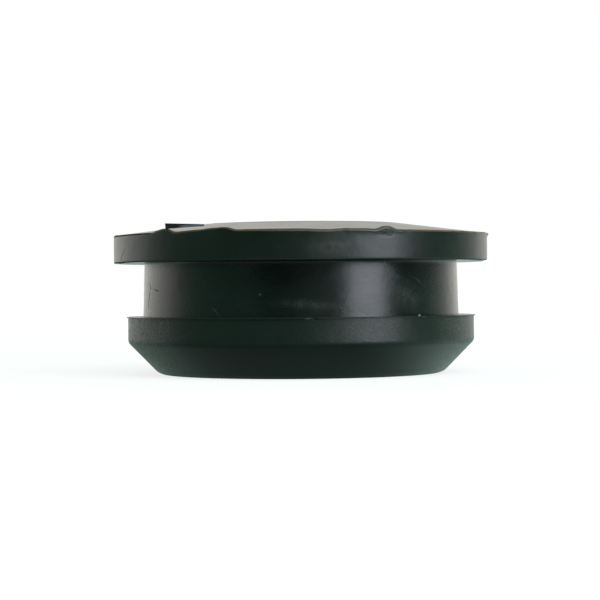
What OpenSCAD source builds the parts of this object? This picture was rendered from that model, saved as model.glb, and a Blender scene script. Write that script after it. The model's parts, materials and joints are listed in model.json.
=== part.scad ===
// Black rubber grommet, moulded in one piece. A wide top flange and a smaller
// lower flange with a lead-in chamfer grip a panel in the groove between them,
// and a plain bore runs through the middle. The axis is Z and the lower face
// is at z = 0.

/* [Bore] */
// Diameter of the bore
bore_d = 19.05; // [12:0.05:24]
// Radius of the rounded mouth at the top of the bore
mouth_round = 1; // [0.3:0.05:1.5]
// Radius of the small rounding at the foot of the bore
bore_foot_round = 0.4; // [0.1:0.05:0.8]

/* [Top flange] */
// Outer diameter of the top flange
flange_d = 37.3; // [35:0.1:44]
// Thickness of the top flange at its rim
flange_t = 2.7; // [1.5:0.05:4]
// Slope of the shallow cone that rises from the rim to the bore
crown_angle = 7.3; // [3:0.1:12]
// Rounding of the rim's upper edge
rim_round = 0.3; // [0.1:0.05:0.6]
// Rounding of the rim's lower edge
rim_under_round = 0.12; // [0.05:0.01:0.3]

/* [Groove] */
// Diameter of the neck under the top flange
neck_d = 31.25; // [29:0.05:33]
// Width of the groove that takes the panel
groove_w = 5.3; // [3:0.05:8]
// How much the neck widens on its way down, on the radius
neck_draft = 0.16; // [0.05:0.01:0.4]
// Fillets where the neck meets the flanges
root_fillet = 0.3; // [0.1:0.05:0.6]

/* [Lower flange] */
// Outer diameter of the lower flange
lower_d = 34.6; // [33.6:0.1:38]
// Height of its straight side
lower_side_h = 2.55; // [1.5:0.05:4]
// Height of the lead-in chamfer below the side
lead_h = 3.2; // [1.5:0.05:4]
// How far the chamfer runs inward
lead_run = 3.12; // [1.5:0.02:3.6]
// Rounding between the side and the chamfer
side_round = 0.5; // [0.1:0.05:0.9]
// Rounding between the chamfer and the lower face
foot_round = 1.35; // [0.3:0.05:1.5]

/* [Mould flash] */
// How far the flash lip stands out at the top of the lower flange
lip_out = 0.14; // [0.05:0.01:0.3]
// Thickness of that lip
lip_t = 0.13; // [0.08:0.01:0.3]
// Height of the tallest torn nub on the rim
nub_h = 0.38; // [0.2:0.01:0.5]
// Thickness of the nubs, measured inward from the rim
nub_t = 0.36; // [0.2:0.02:0.8]
// Thickness of the torn ribbon that stands on the rim
ribbon_t = 0.16; // [0.12:0.01:0.3]

/* [Hidden] */
$fn = 128;

bore_r = bore_d / 2;
flange_r = flange_d / 2;
neck_r = neck_d / 2;
lower_r = lower_d / 2;

groove_z = lead_h + lower_side_h;
flange_z = groove_z + groove_w;
rim_z = flange_z + flange_t;
crown_z = rim_z + (flange_r - bore_r) * tan(crown_angle);

// The flash is set back from the rim's side by this much, is sunk this deep
// into the flange, and stays below this height over the rim.
flash_setback = 0.05;
flash_root = 0.6;
flash_reach = 2;

// Half of the section, from the foot of the bore round the outside to its
// mouth. Each entry is radius, height and corner rounding.
outline = [
    [bore_r, 0, bore_foot_round],
    [lower_r - lead_run, 0, foot_round],
    [lower_r, lead_h, side_round],
    [lower_r, groove_z - lip_t, 0],
    [lower_r + lip_out, groove_z - lip_t, 0],
    [lower_r + lip_out, groove_z, 0],
    [neck_r + neck_draft, groove_z, root_fillet],
    [neck_r, flange_z, root_fillet],
    [flange_r, flange_z, rim_under_round],
    [flange_r, rim_z, rim_round],
    [bore_r, crown_z, mouth_round]
];

// Torn flash as seen from the front. Each entry is a place across the rim and
// a height above it, as a share of the tallest nub.
left_nub = [[-14.3, 0], [-13.4, 0.5], [-12.6, 1], [-12.2, 0.95], [-11.3, 0]];
middle_nub = [[-11, 0], [-8.8, 0.4], [-7, 0.82], [-6.6, 0.6], [-5.9, 0.15], [-5.2, 0]];
right_nub = [
    [2.6, 0], [3.3, 0.23], [4.2, 0.23], [4.8, 0.1], [6.2, 0.2],
    [7.2, 0.76], [7.5, 0.82], [7.8, 0.75], [8.6, 0]
];
ribbon = [[-12.6, -1], [-12.5, 2.05], [-8.9, 1.42], [-8.9, 1.3], [-12, 0.95], [-11.9, -1]];

// Widest turn between two points of a rounded corner, in degrees
arc_step = 11;

function corner(i) = [outline[i][0], outline[i][1]];
function before(i) = corner((i + len(outline) - 1) % len(outline));
function after(i) = corner((i + 1) % len(outline));
function unit(v) = v / norm(v);
function on_circle(centre, radius, angle) = centre + radius * [cos(angle), sin(angle)];
function short_turn(angle) = angle - 360 * round(angle / 360);

// Corner i as a row of points on the arc that rounds it
function rounded(i) =
    let (
        radius = outline[i][2],
        to_a = unit(before(i) - corner(i)),
        to_b = unit(after(i) - corner(i)),
        half = acos(to_a * to_b) / 2,
        centre = corner(i) + unit(to_a + to_b) * radius / sin(half),
        out_a = corner(i) + to_a * radius / tan(half) - centre,
        out_b = corner(i) + to_b * radius / tan(half) - centre,
        start = atan2(out_a[1], out_a[0]),
        sweep = short_turn(atan2(out_b[1], out_b[0]) - start),
        steps = ceil(abs(sweep) / arc_step)
    )
    radius == 0
        ? [corner(i)]
        : [for (k = [0:steps]) on_circle(centre, radius, start + sweep * k / steps)];

module section() {
    polygon([for (i = [0:len(outline) - 1]) each rounded(i)]);
}

// A shape drawn on the front view, kept where it crosses the front of a thin
// ring just inside the rim
module rim_flash(thickness, points) {
    ring_r = flange_r - flash_setback;
    intersection() {
        translate([0, 0, rim_z]) rotate([90, 0, 0])
            linear_extrude(flange_r) polygon(points);
        translate([0, 0, rim_z - flash_root])
            linear_extrude(flash_root + flash_reach) difference() {
                circle(ring_r);
                circle(ring_r - thickness);
            }
    }
}

module nub(shares) {
    last = len(shares) - 1;
    rim_flash(nub_t, concat(
        [[shares[0][0], -flash_root]],
        [for (s = shares) [s[0], s[1] * nub_h]],
        [[shares[last][0], -flash_root]]
    ));
}

module grommet() {
    color([0.08, 0.1, 0.09]) union() {
        rotate_extrude() section();
        nub(left_nub);
        nub(middle_nub);
        nub(right_nub);
        rim_flash(ribbon_t, [for (s = ribbon) [s[0], s[1] * nub_h]]);
    }
}

grommet();
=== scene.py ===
import json
import math

import bpy
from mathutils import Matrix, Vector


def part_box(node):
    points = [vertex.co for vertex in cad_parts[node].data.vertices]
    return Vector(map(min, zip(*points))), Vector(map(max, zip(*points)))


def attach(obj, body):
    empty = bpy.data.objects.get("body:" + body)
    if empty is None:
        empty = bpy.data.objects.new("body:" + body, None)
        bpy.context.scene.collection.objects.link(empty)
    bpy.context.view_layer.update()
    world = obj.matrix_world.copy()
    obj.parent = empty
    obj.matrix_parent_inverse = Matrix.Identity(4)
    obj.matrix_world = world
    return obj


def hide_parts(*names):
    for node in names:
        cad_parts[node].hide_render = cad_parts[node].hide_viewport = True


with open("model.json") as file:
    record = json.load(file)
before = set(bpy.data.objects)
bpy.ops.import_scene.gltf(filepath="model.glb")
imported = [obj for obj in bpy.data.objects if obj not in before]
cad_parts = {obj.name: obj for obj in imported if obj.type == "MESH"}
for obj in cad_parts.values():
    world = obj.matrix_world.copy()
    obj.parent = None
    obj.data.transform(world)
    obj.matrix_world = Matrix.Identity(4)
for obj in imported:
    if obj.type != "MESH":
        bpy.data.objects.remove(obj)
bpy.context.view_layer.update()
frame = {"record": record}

# The moulded body. One piece of black rubber: a wide top flange with a low
# cone on it, a neck with the panel groove, and a lower flange with a lead-in
# chamfer. Turned from its section, as the mould's cavity is.
MM = 0.001
bore_mount = next(m for m in frame["record"]["mounts"] if m["name"] == "bore")
bore_r = bore_mount["dims"]["r_mm"] * MM
top_flange_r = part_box("grommet")[1].x
neck_top_r = 15.625 * MM
neck_draft = 0.16 * MM
neck_foot_r = neck_top_r + neck_draft
lower_flange_r = 17.3 * MM
chamfer_run = 3.12 * MM
chamfer_foot_r = lower_flange_r - chamfer_run
lip_out = 0.14 * MM
lip_r = lower_flange_r + lip_out
lip_thickness = 0.13 * MM
lip_edge_thickness = 0.8 * lip_thickness

chamfer_top = 3.2 * MM
side_height = 2.55 * MM
groove_width = 5.3 * MM
rim_thickness = 2.7 * MM
groove_floor = chamfer_top + side_height
flange_under = groove_floor + groove_width
rim_top = flange_under + rim_thickness
crown_slope = math.radians(7.3)
crown_top = rim_top + (top_flange_r - bore_r) * math.tan(crown_slope)

# Rings from the foot of the bore, out and up the outside and back to the
# bore: radius, height, and how many equal steps lead there.
points_round = 720
rings = [
    (chamfer_foot_r, 0, 4),
    (lower_flange_r, chamfer_top, 8),
    (lower_flange_r, groove_floor - lip_thickness, 6),
    (lip_r, groove_floor - lip_edge_thickness, 1),
    (lip_r, groove_floor, 1),
    (neck_foot_r, groove_floor, 2),
    (neck_top_r, flange_under, 14),
    (top_flange_r, flange_under, 3),
    (top_flange_r, rim_top, 10),
    (bore_r, crown_top, 16),
    (bore_r, 0, 4),
]

# Corners that are rounded: radius, height, bevel width and segments.
rounded_corners = [
    (bore_r, 0, 0.3 * MM, 3),
    (chamfer_foot_r, 0, 0.55 * MM, 6),
    (lower_flange_r, chamfer_top, 0.25 * MM, 4),
    (neck_top_r, flange_under, 0.18 * MM, 4),
    (top_flange_r, flange_under, 0.12 * MM, 3),
    (top_flange_r, rim_top, 0.24 * MM, 5),
    (bore_r, crown_top, 1.13 * MM, 8),
]


def pick(obj, wanted, mode="VERT"):
    """Selects the vertices or edges of the piece in edit mode that wanted() says yes to."""
    bpy.ops.mesh.select_mode(type=mode)
    bpy.ops.mesh.select_all(action="DESELECT")
    bpy.ops.object.mode_set(mode="OBJECT")
    mesh = obj.data
    if mode == "VERT":
        for v in mesh.vertices:
            v.select = wanted(v.co)
    else:
        for e in mesh.edges:
            e.select = all(wanted(mesh.vertices[i].co) for i in e.vertices)
    bpy.ops.object.mode_set(mode="EDIT")


def out_from_axis(co):
    return math.hypot(co.x, co.y)


def is_at(co, radius, height, slack=0.004 * MM):
    return abs(out_from_axis(co) - radius) < slack and abs(co.z - height) < slack


bpy.ops.object.select_all(action="DESELECT")
bpy.ops.mesh.primitive_circle_add(vertices=points_round, radius=bore_r, fill_type="NOTHING")
body = bpy.context.object
body.name = "grommet_body"
bpy.ops.object.mode_set(mode="EDIT")
bpy.ops.mesh.select_all(action="SELECT")
radius, height = bore_r, 0
for next_radius, next_height, steps in rings:
    for step in range(steps):
        now_radius = radius + (next_radius - radius) * step / steps
        to_radius = radius + (next_radius - radius) * (step + 1) / steps
        bpy.ops.mesh.extrude_region_move(
            TRANSFORM_OT_translate={"value": (0, 0, (next_height - height) / steps)}
        )
        grow = to_radius / now_radius
        bpy.ops.transform.resize(value=(grow, grow, 1), center_override=(0, 0, 0))
    radius, height = next_radius, next_height
bpy.ops.mesh.select_all(action="SELECT")
bpy.ops.mesh.remove_doubles(threshold=0.001 * MM)
bpy.ops.mesh.normals_make_consistent(inside=False)
for radius, height, width, segments in rounded_corners:
    pick(body, lambda co: is_at(co, radius, height), "EDGE")
    bpy.ops.mesh.bevel(offset=width, offset_type="OFFSET", segments=segments, profile=0.5)

# The rim's torn edge, of the same rubber. Flash that was torn off it left nubs
# and a thin flared lip, and the soft rim doesn't lie quite true.

# Each row pulls the edge: degrees round from the front, half width in degrees,
# then in mm the pull outward, the lift, and how far the pull fades out.
rim_pulls = [
    (-81.0, 13.0, 0.05, 0, 0.25),
    (-85.0, 5.0, 0, 0.06, 1.5),
    (-44.2, 1.4, 0, 0.24, 1.3),
    (-42.9, 0.9, 0, 0.14, 0.9),
    (-28.5, 2.2, 0, 0.13, 3.0),
    (-24.5, 1.0, 0, 0.16, 2.0),
    (-21.4, 0.7, 0, 0.17, 1.0),
    (-8.0, 8.0, 0, 0.08, 2.4),
    (11.6, 1.4, 0, 0.06, 0.6),
    (17.0, 2.5, 0, 0.08, 1.4),
    (22.0, 9.0, 0.05, 0, 0.35),
    (25.3, 0.6, 0, 0.33, 1.2),
    (84.0, 5.0, 0, 0.07, 2.0),
    (76.0, 12.0, 0.06, 0, 0.25),
    (89.0, 3.0, 0.14, 0.02, 0.3),
]
under_pulls = [
    (0, 45.0, 0, -0.04, 1.5),
    (-70.0, 2.5, 0, -0.05, 0.7),
    (84.0, 8.0, 0, 0.08, 2.2),
]
edge_width = 0.35 * MM
edge_height = 0.08 * MM


def round_from_front(co):
    return math.degrees(math.atan2(co.x, -co.y))


def place_round(radius, angle, height):
    """The place at this radius and height, turned this far round from the front."""
    return (radius * math.sin(angle), -radius * math.cos(angle), height)


for level, pulls in ((rim_top, rim_pulls), (flange_under, under_pulls)):
    for place, half_width, outward, lift, fade in pulls:
        pick(
            body,
            lambda co: abs(round_from_front(co) - place) < half_width
            and abs(co.z - level) < edge_height
            and out_from_axis(co) > top_flange_r - edge_width,
        )
        bpy.ops.transform.translate(
            value=place_round(outward * MM, math.radians(place), lift * MM),
            use_proportional_edit=True,
            proportional_edit_falloff="SMOOTH",
            proportional_size=fade * MM,
        )
bpy.ops.object.mode_set(mode="OBJECT")

# The torn ribbon. A thin strip of rubber flash that still hangs on the left
# nub, stands free of the rim and follows it to the right, getting narrower.
ribbon_from = math.radians(-42.3)
ribbon_to = math.radians(-28.3)
ribbon_r = top_flange_r - 0.12 * MM
ribbon_low = rim_top + 0.30 * MM
ribbon_high = rim_top + 0.86 * MM
ribbon_tuck = 0.05 * MM
ribbon_thickness = 0.14 * MM
ribbon_end_height = rim_top + 0.56 * MM
ribbon_end_share = 0.3
ribbon_narrows_over = 4.9 * MM

# A plane comes down to one point at the ribbon's foot, which is drawn up into
# a line and spun round the bore's axis.
start_size = 1.0 * MM
bpy.ops.object.select_all(action="DESELECT")
bpy.ops.mesh.primitive_plane_add(size=start_size)
ribbon = bpy.context.object
ribbon.name = "flash_ribbon"
bpy.ops.object.mode_set(mode="EDIT")
pick(ribbon, lambda co: co.y > 0)
bpy.ops.mesh.delete(type="VERT")
bpy.ops.mesh.select_all(action="SELECT")
bpy.ops.mesh.merge(type="CENTER")
bpy.ops.transform.translate(value=(0, start_size / 2, 0))
bpy.ops.transform.translate(value=place_round(ribbon_r - ribbon_tuck, ribbon_from, ribbon_low))
bpy.ops.mesh.extrude_region_move(
    TRANSFORM_OT_translate={
        "value": place_round(ribbon_tuck, ribbon_from, ribbon_high - ribbon_low)
    }
)
bpy.ops.mesh.select_all(action="SELECT")
bpy.ops.mesh.subdivide(number_cuts=3)
bpy.ops.mesh.spin(steps=36, angle=ribbon_from - ribbon_to, center=(0, 0, 0), axis=(0, 0, 1))
end_slack = 0.001
pick(ribbon, lambda co: abs(math.radians(round_from_front(co)) - ribbon_to) < end_slack)
bpy.ops.transform.resize(
    value=(1, 1, ribbon_end_share),
    center_override=(0, 0, ribbon_end_height),
    use_proportional_edit=True,
    proportional_edit_falloff="LINEAR",
    proportional_size=ribbon_narrows_over,
)
bpy.ops.object.mode_set(mode="OBJECT")
ribbon.modifiers.new("thickness", "SOLIDIFY").thickness = ribbon_thickness
bpy.ops.object.modifier_apply(modifier="thickness")
bpy.ops.object.select_all(action="DESELECT")
ribbon.select_set(True)
body.select_set(True)
bpy.context.view_layer.objects.active = body
bpy.ops.object.join()
bpy.ops.object.shade_smooth_by_angle(angle=math.radians(40))

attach(body, "root")
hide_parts("grommet")

# The rubber. Black with a green cast and semi-matt, smoother on the neck than
# on the flanges, with fine dust pressed into the lower flange, and scuffed
# and marked where it was handled, with some shade and highlight painted in
# at the rim, the ribbon and the top flange.
rubber = bpy.data.materials.new("black_rubber")
rubber.use_nodes = True
body.data.materials.append(rubber)
shader = rubber.node_tree.nodes["Principled BSDF"]


def add(tree, kind, inputs, **settings):
    """A node with its settings, and its inputs given as values or as what feeds them."""
    node = tree.nodes.new("ShaderNode" + kind)
    for name, value in settings.items():
        setattr(node, name, value)
    for name, value in inputs.items():
        if isinstance(value, bpy.types.NodeSocket):
            tree.links.new(value, node.inputs[name])
        else:
            node.inputs[name].default_value = value
    return node


def maths(tree, operation, *values):
    return add(tree, "Math", dict(enumerate(values)), operation=operation).outputs[0]


def product(tree, first, *others):
    """All the values multiplied with each other."""
    for value in others:
        first = maths(tree, "MULTIPLY", first, value)
    return first


def between(tree, value, low, high, to_low=0.0, to_high=1.0):
    """Goes softly from to_low at low to to_high at high."""
    inputs = {
        "Value": value,
        "From Min": low,
        "From Max": high,
        "To Min": to_low,
        "To Max": to_high,
    }
    return add(tree, "MapRange", inputs, interpolation_type="SMOOTHSTEP").outputs["Result"]


# Where a place on the rubber is, in mm: up from the lower face, out from the
# bore's axis, toward the front, and along the surface, round from the front.
tree = rubber.node_tree
where = add(tree, "TexCoord", {}).outputs["Object"]
in_mm = add(tree, "VectorMath", {0: where, "Scale": 1 / MM}, operation="SCALE").outputs[0]
across, ahead, up = add(tree, "SeparateXYZ", {0: in_mm}).outputs
flat = add(tree, "VectorMath", {0: in_mm, 1: (1, 1, 0)}, operation="MULTIPLY").outputs[0]
out_mm = add(tree, "VectorMath", {0: flat}, operation="LENGTH").outputs["Value"]
toward = maths(tree, "MULTIPLY", ahead, -1)
along = maths(tree, "MULTIPLY", maths(tree, "ARCTAN2", across, toward), out_mm)

# The neck and the lower flange, which have a finish of their own.
neck_low = groove_floor / MM
neck_high = flange_under / MM
on_neck = product(
    tree,
    between(tree, up, neck_low - 0.05, neck_low + 0.1),
    between(tree, up, neck_high, neck_high + 0.05, 1, 0),
)
on_lower = between(tree, up, neck_low - 0.05, neck_low + 0.02, 1, 0)


def noise(scale, detail):
    return add(tree, "TexNoise", {"Vector": in_mm, "Scale": scale, "Detail": detail})


grain = noise(7.0, 3.0).outputs["Fac"]
clouds = noise(0.3, 4.0).outputs["Fac"]
ripple = noise(1.3, 2.0).outputs["Fac"]
dust = noise(5.5, 3.0).outputs["Fac"]

# Dust lies on the lower flange, thickest at its left end and some at its right.
sideways = maths(tree, "DIVIDE", across, out_mm)
dust_left = between(tree, sideways, -0.96, -0.66, 1, 0.02)
dust_right = between(tree, sideways, 0.7, 0.96, 0, 0.3)
dusted = product(tree, on_lower, maths(tree, "ADD", dust_left, dust_right))
dust_specks = product(tree, between(tree, dust, 0.5, 0.66), dusted)

# The rim's torn edge is rough, and brown where the flash is thin. Along its left
# end it is painted black, as painted shade of the undercut beneath the edge.
# Above it stands the ribbon, with a painted glint low in its right half.
rim_r = top_flange_r / MM
rim_height = rim_top / MM
at_rim = product(
    tree,
    between(tree, out_mm, rim_r - 0.38, rim_r - 0.3),
    between(tree, up, rim_height - 0.28, rim_height - 0.14),
)
on_ribbon = product(tree, at_rim, between(tree, up, rim_height + 0.28, rim_height + 0.36))
rim_edge = maths(tree, "SUBTRACT", at_rim, on_ribbon)
rim_thin = product(
    tree,
    rim_edge,
    between(tree, ripple, 0.35, 0.6, 0.35, 1),
    between(tree, out_mm, rim_r - 0.055, rim_r - 0.012, 1, 0),
)
# Painted shade: the rim's left end is darkened where its edge is undercut.
rim_painted_shade = product(
    tree,
    rim_edge,
    between(tree, up, rim_height - 0.17, rim_height - 0.1),
    between(tree, along, -16.2, -15.4, 1, 0),
    between(tree, along, -34.0, -30.0),
)
# Painted highlight: a pale glint on the lower right of the ribbon.
ribbon_painted_glint = product(
    tree,
    on_ribbon,
    between(tree, along, -12.4, -11.2),
    between(tree, up, rim_height + 0.58, rim_height + 0.66, 1, 0),
)

# Two places are duller than the rest: the ledge in front of the neck's foot,
# and the lower edge of the top flange.
front_ledge = product(
    tree,
    between(tree, out_mm, neck_foot_r / MM + 0.02, neck_foot_r / MM + 0.06),
    between(tree, toward, 9.0, 13.0),
    between(tree, up, neck_low - 0.05, neck_low - 0.02),
    between(tree, up, neck_low + 0.1, neck_low + 0.2, 1, 0),
)
under_edge = product(
    tree,
    between(tree, out_mm, rim_r - 0.16, rim_r - 0.1),
    between(tree, up, neck_high + 0.06, neck_high + 0.14, 1, 0),
)

# Marks on the unrolled surface, a few of which are painted shade and painted
# highlight. Each is an oval: place along and up, half length and half width in
# mm, turn in degrees, and strength.
pale_marks_and_painted_highlight = [
    (-8.34, 6.35, 0.62, 0.1, -40, 0.2),
    (-3.84, 7.91, 0.2, 0.12, -10, 0.22),
    (0.65, 5.63, 0.42, 0.12, 8, 0.25),
    (12.45, 5.8, 0.18, 0.12, 0, 1.0),
    (0.6, 6.95, 3.6, 0.5, -3, 0.06),
    (4.4, 4.4, 5.0, 1.3, 0, 0.03),
    (10.9, 7.6, 2.2, 1.5, -30, 0.07),
    (9.4, 9.6, 1.6, 0.5, -30, 0.05),
    (12.3, 9.1, 1.5, 0.12, -26, 0.06),
    (-12.2, 4.0, 1.8, 0.25, 12, 0.025),
    # A pale smear on the top flange, also a painted highlight: the left wing of the highlight
    # there.
    (3.2, 12.3, 3.0, 1.5, 0, 0.08),
]
dark_marks_and_painted_shade = [
    (-18.9, 8.75, 0.6, 0.09, -38, 0.9),
    (-17.0, 8.32, 0.8, 0.09, -12, 0.7),
    (-19.2, 7.5, 1.2, 0.12, 72, 1.0),
    (-21.7, 11.8, 1.0, 0.1, 37, 0.9),
    # Painted shade: the dark spot under the nub on the right of the rim.
    (8.1, 13.3, 0.9, 0.3, 0, 0.6),
    (1.25, 5.62, 0.16, 0.12, 0, 0.8),
]

# A wobble of the coordinates breaks up the ovals. It moves them by half of its
# reach on average, so their places move with it.
wobble_reach = 0.35
wobble_middle = wobble_reach / 2
unrolled = add(tree, "CombineXYZ", {"X": along, "Y": up}).outputs[0]
shaken = add(
    tree,
    "VectorMath",
    {0: noise(1.6, 3.0).outputs["Color"], 1: (wobble_reach, wobble_reach, 0), 2: unrolled},
    operation="MULTIPLY_ADD",
).outputs[0]

# The marks lie on the outer walls: the neck, the rim and the lower flange.
on_walls = maths(
    tree,
    "MAXIMUM",
    product(
        tree,
        between(tree, out_mm, bore_r / MM + 4, bore_r / MM + 5),
        between(tree, out_mm, neck_foot_r / MM + 0.1, neck_foot_r / MM + 0.2, 1, 0),
    ),
    between(tree, out_mm, lower_flange_r / MM - 0.05, lower_flange_r / MM),
)
mark_strength = product(tree, on_walls, between(tree, ripple, 0.35, 0.65, 0.6, 1.2))


def marks(rows):
    """One mask of all the oval marks in the rows."""
    mask = 0.0
    for mark_along, mark_up, length, width, turn, strength in rows:
        oval = add(
            tree,
            "Mapping",
            {
                "Vector": shaken,
                "Location": (mark_along + wobble_middle, mark_up + wobble_middle, 0),
                "Rotation": (0, 0, math.radians(turn)),
                "Scale": (length, width, 1),
            },
            vector_type="TEXTURE",
        ).outputs[0]
        reach = add(tree, "VectorMath", {0: oval}, operation="LENGTH").outputs["Value"]
        mask = maths(tree, "MAXIMUM", mask, between(tree, reach, 0.0, 1.3, strength, 0))
    return product(tree, mask, mark_strength)


pale_and_painted_highlight = marks(pale_marks_and_painted_highlight)
dark_and_painted_shade = marks(dark_marks_and_painted_shade)

# The colours of the rubber and of what lies on it.
deep = (0.0005, 0.0062, 0.0028, 1)
worn = (0.0018, 0.0102, 0.0062, 1)
lower_green = (0.0008, 0.0105, 0.0048, 1)
ribbon_blue = (0.001, 0.002, 0.003, 1)
# The ribbon's glint colour is a painted highlight.
ribbon_glint = (0.16, 0.18, 0.24, 1)
brown = (0.085, 0.048, 0.014, 1)
dusty = (0.17, 0.165, 0.14, 1)
black_and_painted_shade = (0.001, 0.002, 0.0015, 1)
chalky_and_painted_highlight = (0.3, 0.32, 0.29, 1)


def blend(tree, share, first, second):
    """The first colour, with a share of the second over it."""
    # Inputs 6 and 7 and output 2 are the Mix node's colours.
    return add(tree, "Mix", {0: share, 6: first, 7: second}, data_type="RGBA").outputs[2]


# The rubber's own colour comes first, and each coat covers a share of it.
colour = blend(tree, between(tree, clouds, 0.35, 0.7), deep, worn)
coats = [
    (maths(tree, "MULTIPLY", on_lower, 0.7), lower_green),
    (maths(tree, "MULTIPLY", dust_specks, 0.8), dusty),
    (on_ribbon, ribbon_blue),
    (ribbon_painted_glint, ribbon_glint),
    (rim_thin, brown),
    (rim_painted_shade, black_and_painted_shade),
    (pale_and_painted_highlight, chalky_and_painted_highlight),
    (dark_and_painted_shade, black_and_painted_shade),
]
for share, coat in coats:
    colour = blend(tree, share, colour, coat)
tree.links.new(colour, shader.inputs["Base Color"])

# The roughness, of the neck and the flanges, and what each finish adds to it.
neck_roughness = 0.2
flange_roughness = 0.28
roughness = maths(
    tree, "MULTIPLY_ADD", on_neck, neck_roughness - flange_roughness, flange_roughness
)
roughened = [
    (clouds, 0.08),
    (grain, 0.04),
    (dust_specks, 0.1),
    (rim_thin, 0.5),
    (rim_painted_shade, 0.45),
    (under_edge, 0.45),
    (front_ledge, 0.6),
    (pale_and_painted_highlight, 0.2),
    (dark_and_painted_shade, 0.25),
]
for share, more in roughened:
    roughness = maths(tree, "MULTIPLY_ADD", share, more, roughness)
tree.links.new(roughness, shader.inputs["Roughness"])

# The relief in mm: grain, finer on the lower flange, then slow hollows,
# ripple, dust and scratches.
grain_height = 0.008
lower_grain_height = 0.004
grain_relief = maths(
    tree, "MULTIPLY_ADD", on_lower, lower_grain_height - grain_height, grain_height
)
relief = maths(tree, "MULTIPLY", grain, grain_relief)
raised = [
    (clouds, 0.045),
    (ripple, 0.006),
    (dust_specks, 0.16),
    (pale_and_painted_highlight, 0.002),
    (dark_and_painted_shade, -0.06),
]
for share, height_mm in raised:
    relief = maths(tree, "MULTIPLY_ADD", share, height_mm, relief)
bump = add(tree, "Bump", {"Height": relief, "Distance": MM, "Strength": 1.0})
tree.links.new(bump.outputs["Normal"], shader.inputs["Normal"])

# The camera. It stands in front of the object, level with the groove, and
# leans a little to one side.
camera_distance = 183.2 * MM
camera_height = 8.233 * MM
tilt = math.radians(-0.295)
roll = math.radians(0.472)
turn = math.radians(0.025)
bpy.ops.object.camera_add()
camera = bpy.context.object
camera.name = "camera"
bpy.context.scene.camera = camera
camera.data.sensor_width = 36
camera.data.lens = 109.4
camera.data.clip_start = 0.005
camera.location = (0, -camera_distance, camera_height)
camera.rotation_euler = (math.pi / 2 + tilt, roll, turn)

# The floor. A plain pale sheet that keeps the object's shadow and that the
# camera sees white. Gloss mirrors it white far behind the object, and as a
# faint green light close to it. Its distances are in metres.
bpy.ops.object.select_all(action="DESELECT")
bpy.ops.mesh.primitive_plane_add(size=6)
floor = bpy.context.object
floor.name = "floor"
floor_paint = bpy.data.materials.new("floor_paint")
floor_paint.use_nodes = True
floor.data.materials.append(floor_paint)
tree = floor_paint.node_tree
tree.nodes.clear()
floor_place = add(tree, "TexCoord", {}).outputs["Object"]
floor_right, floor_back, _ = add(tree, "SeparateXYZ", {0: floor_place}).outputs
far_out = add(tree, "VectorMath", {0: floor_place}, operation="LENGTH").outputs["Value"]
rays = add(tree, "LightPath", {}).outputs
mirrored = maths(tree, "MAXIMUM", rays["Is Glossy Ray"], rays["Is Transmission Ray"])

# White: to the camera, a little less near the object, and in gloss behind it,
# where it comes in between 40 mm and 200 mm away.
seen = product(tree, rays["Is Camera Ray"], between(tree, far_out, 0.02, 0.4, 0.8, 1))
mirrored_far = product(
    tree,
    mirrored,
    between(tree, far_out, 0.04, 0.2, 0, 1.1),
    between(tree, floor_back, 0.0, 0.2),
)
white_glow = add(tree, "Emission", {"Strength": maths(tree, "ADD", seen, mirrored_far)})

# Green: behind the middle, on the right and under the object, in a ring that
# starts under its edge and fades out where the white comes in.
near_glow = between(tree, floor_back, -0.0168, -0.002, 0, 0.38)
right_glow = between(tree, floor_right, 0.006, 0.015, 0, 0.26)
under_glow = between(tree, far_out, 0.014, 0.0185, 0.17, 0)
glows = maths(tree, "ADD", maths(tree, "ADD", near_glow, right_glow), under_glow)
ring = product(
    tree,
    between(tree, far_out, 0.0134, 0.0146, 0.15, 1),
    between(tree, far_out, 0.04, 0.2, 1, 0),
)
mirrored_near = product(tree, mirrored, glows, ring)
green_glow = add(tree, "Emission", {"Color": (0.72, 1, 0.88, 1), "Strength": mirrored_near})

paint = add(tree, "BsdfDiffuse", {"Color": (0.19, 0.23, 0.21, 1)})
glow = add(tree, "AddShader", {0: white_glow.outputs[0], 1: green_glow.outputs[0]})
painted = add(tree, "AddShader", {0: paint.outputs[0], 1: glow.outputs[0]})
add(tree, "OutputMaterial", {"Surface": painted.outputs[0]})

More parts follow.
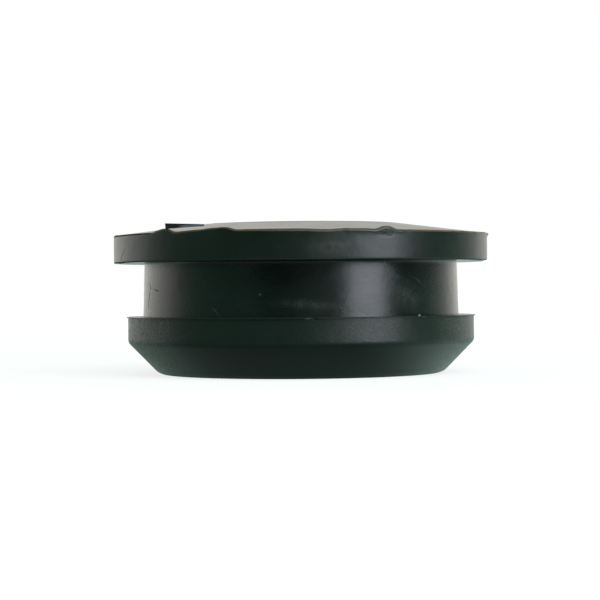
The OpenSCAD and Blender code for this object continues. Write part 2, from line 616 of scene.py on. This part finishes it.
# The room. The camera sees it white. The object sees a white backdrop behind
# it, which turns green and dims towards the front, where the camera stands.
world = bpy.context.scene.world or bpy.data.worlds.new("studio")
bpy.context.scene.world = world
world.use_nodes = True
tree = world.node_tree
tree.nodes.clear()
direction = add(tree, "TexCoord", {}).outputs["Generated"]
to_right, to_back, _ = add(tree, "SeparateXYZ", {0: direction}).outputs
deep_in = maths(tree, "MULTIPLY_ADD", to_right, -0.22, to_back)
front_green = (0.45, 1, 0.72, 1)
back_white = (1, 0.98, 0.92, 1)
backdrop_tint = blend(tree, between(tree, deep_in, -0.1, 0.45), front_green, back_white)
backdrop_glow = maths(
    tree,
    "ADD",
    between(tree, deep_in, 0.12, 0.8, 0, 1.1),
    between(tree, deep_in, -0.7, 0.4, 0, 0.22),
)
room = add(tree, "Background", {"Color": backdrop_tint, "Strength": backdrop_glow})
white = add(tree, "Background", {"Color": (1, 1, 1, 1), "Strength": 1.0})
to_camera = add(tree, "LightPath", {}).outputs["Is Camera Ray"]
shown = add(tree, "MixShader", {0: to_camera, 1: room.outputs[0], 2: white.outputs[0]})
add(tree, "OutputWorld", {"Surface": shown.outputs[0]})

# The lamps. A bright softbox low in front on the right, a wide one above it and
# a dim one over the top, with faint fills from the front and from the left.
lamp_reach = 0.6


def softbox(name, round_from, wide, low, high, glow, tint):
    """An area lamp that fills these degrees as seen from the object, glowing at that strength."""
    bpy.ops.object.light_add(type="AREA")
    lamp = bpy.context.object
    lamp.name = name
    angle = math.radians(round_from)
    middle = math.radians((low + high) / 2)
    lamp_height = groove_floor + lamp_reach * math.sin(middle)
    lamp.location = place_round(lamp_reach * math.cos(middle), angle, lamp_height)
    lamp.rotation_euler = (math.pi / 2 - middle, 0, angle)
    lamp.data.shape = "RECTANGLE"
    lamp.data.size = 2 * lamp_reach * math.tan(math.radians(wide) / 2)
    lamp.data.size_y = 2 * lamp_reach * math.tan(math.radians(high - low) / 2)
    lamp.data.energy = glow * math.pi * lamp.data.size * lamp.data.size_y
    lamp.data.color = tint


# Degrees round from the front, wide, and up from and to, then strength and tint.
cool_white = (0.88, 0.91, 1)
softbox("key_softbox", 48, 28, -1, 30, 6.2, cool_white)
softbox("high_softbox", 28, 72, 30, 60, 3.7, cool_white)
softbox("top_softbox", 30, 90, 60, 88, 0.9, (0.9, 0.95, 1))
softbox("front_fill", 12, 30, -1, 30, 0.1, (0.9, 0.97, 1))
softbox("left_fill", -62, 60, 0, 40, 0.2, (0.5, 1, 0.75))

bpy.context.scene.view_settings.view_transform = "Standard"
